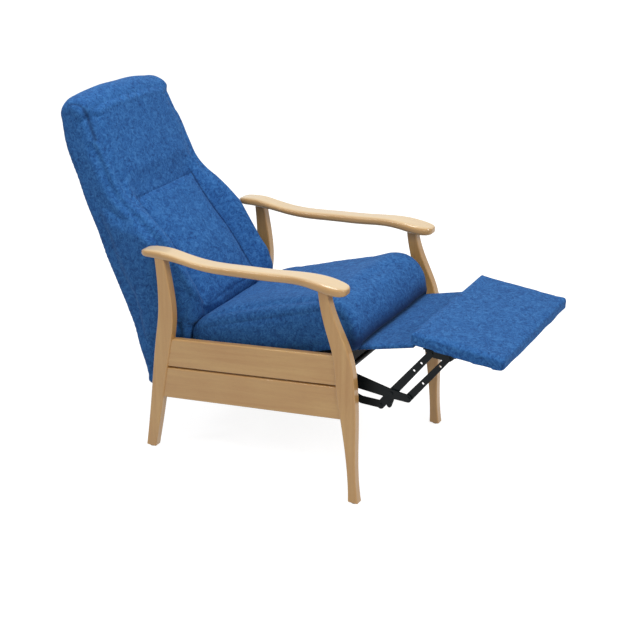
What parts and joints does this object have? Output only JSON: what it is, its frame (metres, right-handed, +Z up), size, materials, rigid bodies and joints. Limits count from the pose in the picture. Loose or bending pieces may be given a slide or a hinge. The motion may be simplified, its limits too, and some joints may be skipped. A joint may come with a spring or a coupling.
{
  "type": "reclining armchair",
  "caption": "Reclining armchair with curved wooden arms and splayed legs, a tilting padded seat and winged back, and a footrest on a folding steel linkage with a bridging flap.",
  "frame": {"origin": "on the floor, below the middle of the chair's length and width as it is shown, leaned back with the footrest out", "axes": "+Z up, the sitter faces -Y, +X is the sitter's left"},
  "size_m": [0.6428, 1.505, 1.0912],
  "materials": {
    "beech": "clear satin lacquer over pale straight-grained beech",
    "frame_timber": "planed, unfinished",
    "plywood": "sanded plywood, unfinished",
    "blue_microfibre": "mottled suede-like microfibre with fine darker veins",
    "black_cloth": "plain black lining cloth",
    "black_steel": "black powder coat, satin",
    "rivet_steel": "zinc-plated steel",
    "glide_plastic": "moulded plastic glide",
    "buffer_rubber": "moulded rubber"
  },
  "bodies": {
    "side_frames": {"armrest_left": "beech", "armrest_right": "beech", "floor_glides": "glide_plastic", "frame_dowels": "frame_timber", "front_apron": "black_cloth", "front_cross_rail": "beech", "front_leg_left": "beech", "front_leg_right": "beech", "lower_side_rail_left": "beech", "lower_side_rail_right": "beech", "rear_cross_rail": "beech", "rear_leg_left": "beech", "rear_leg_right": "beech", "stop_buffers": "buffer_rubber", "tilt_bracket_left": "black_steel", "tilt_bracket_right": "black_steel", "upper_side_rail_left": "beech", "upper_side_rail_right": "beech"},
    "seat_unit": {"back_cross_rails": "frame_timber", "back_cushion": "blue_microfibre", "back_post_left": "frame_timber", "back_post_right": "frame_timber", "back_rear_panel": "blue_microfibre", "back_side_plate_left": "black_steel", "back_side_plate_right": "black_steel", "lumbar_cushion": "blue_microfibre", "mechanism_plate_left": "black_steel", "mechanism_plate_right": "black_steel", "plate_rivets": "black_steel", "seat_cross_rails": "frame_timber", "seat_cushion": "blue_microfibre", "seat_dust_cover": "black_cloth", "seat_side_rail_left": "frame_timber", "seat_side_rail_right": "frame_timber", "seat_webbing": "black_cloth", "tilt_pins": "rivet_steel"},
    "lift_arms": {"lift_arm_left": "black_steel", "lift_arm_right": "black_steel", "torque_tube": "black_steel", "arm_rivets": "black_steel"},
    "control_links": {"control_link_left": "black_steel", "control_link_right": "black_steel"},
    "front_links": {"front_link_left": "black_steel", "front_link_right": "black_steel", "front_link_rivets": "black_steel", "stop_lug_left": "black_steel", "stop_lug_right": "black_steel"},
    "outer_links": {"outer_link_left": "black_steel", "outer_link_right": "black_steel"},
    "footrest": {"footrest_board": "plywood", "footrest_cushion": "blue_microfibre", "pad_bracket_left": "black_steel", "pad_bracket_right": "black_steel", "pad_rivets": "black_steel", "flap_hinge_pad_leaf": "black_steel", "flap_hinge_pin": "rivet_steel"},
    "flap": {"flap_board": "plywood", "flap_cushion": "blue_microfibre", "flap_hinge_flap_leaf": "black_steel"}
  },
  "joints": [
    {"name": "seat_tilt", "type": "hinge", "parent": "side_frames", "child": "seat_unit", "pos_m": [0, 0.294, 0.33], "axis": [1, 0, 0], "range_deg": [0, 11.5]},
    {"name": "footrest_extend", "type": "hinge", "parent": "seat_unit", "child": "lift_arms", "pos_m": [0, -0.2005, 0.41], "axis": [1, 0, 0], "range_deg": [0, 74]},
    {"name": "control_link_pivot", "type": "hinge", "parent": "seat_unit", "child": "control_links", "pos_m": [0, -0.16733, 0.35478], "axis": [1, 0, 0], "range_deg": [0, 74.66]},
    {"name": "front_link_knee", "type": "hinge", "parent": "lift_arms", "child": "front_links", "pos_m": [0, -0.4058, 0.3645], "axis": [1, 0, 0], "range_deg": [-82.01, 0]},
    {"name": "outer_link_knee", "type": "hinge", "parent": "lift_arms", "child": "outer_links", "pos_m": [0, -0.4588, 0.3615], "axis": [1, 0, 0], "range_deg": [-82.01, 0]},
    {"name": "footrest_pivot", "type": "hinge", "parent": "front_links", "child": "footrest", "pos_m": [0, -0.5265, 0.52], "axis": [1, 0, 0], "range_deg": [0, 82.01]},
    {"name": "flap_hinge", "type": "hinge", "parent": "footrest", "child": "flap", "pos_m": [0, -0.4736, 0.5232], "axis": [1, 0, 0], "range_deg": [-146.01, 0]}
  ],
  "couplings": [
    {"joint": "control_link_pivot", "follows": "footrest_extend", "ratio": 1.0088},
    {"joint": "front_link_knee", "follows": "footrest_extend", "ratio": -1.1081},
    {"joint": "outer_link_knee", "follows": "footrest_extend", "ratio": -1.1081},
    {"joint": "footrest_pivot", "follows": "footrest_extend", "ratio": 1.1081},
    {"joint": "flap_hinge", "follows": "footrest_extend", "ratio": -1.973}
  ]
}
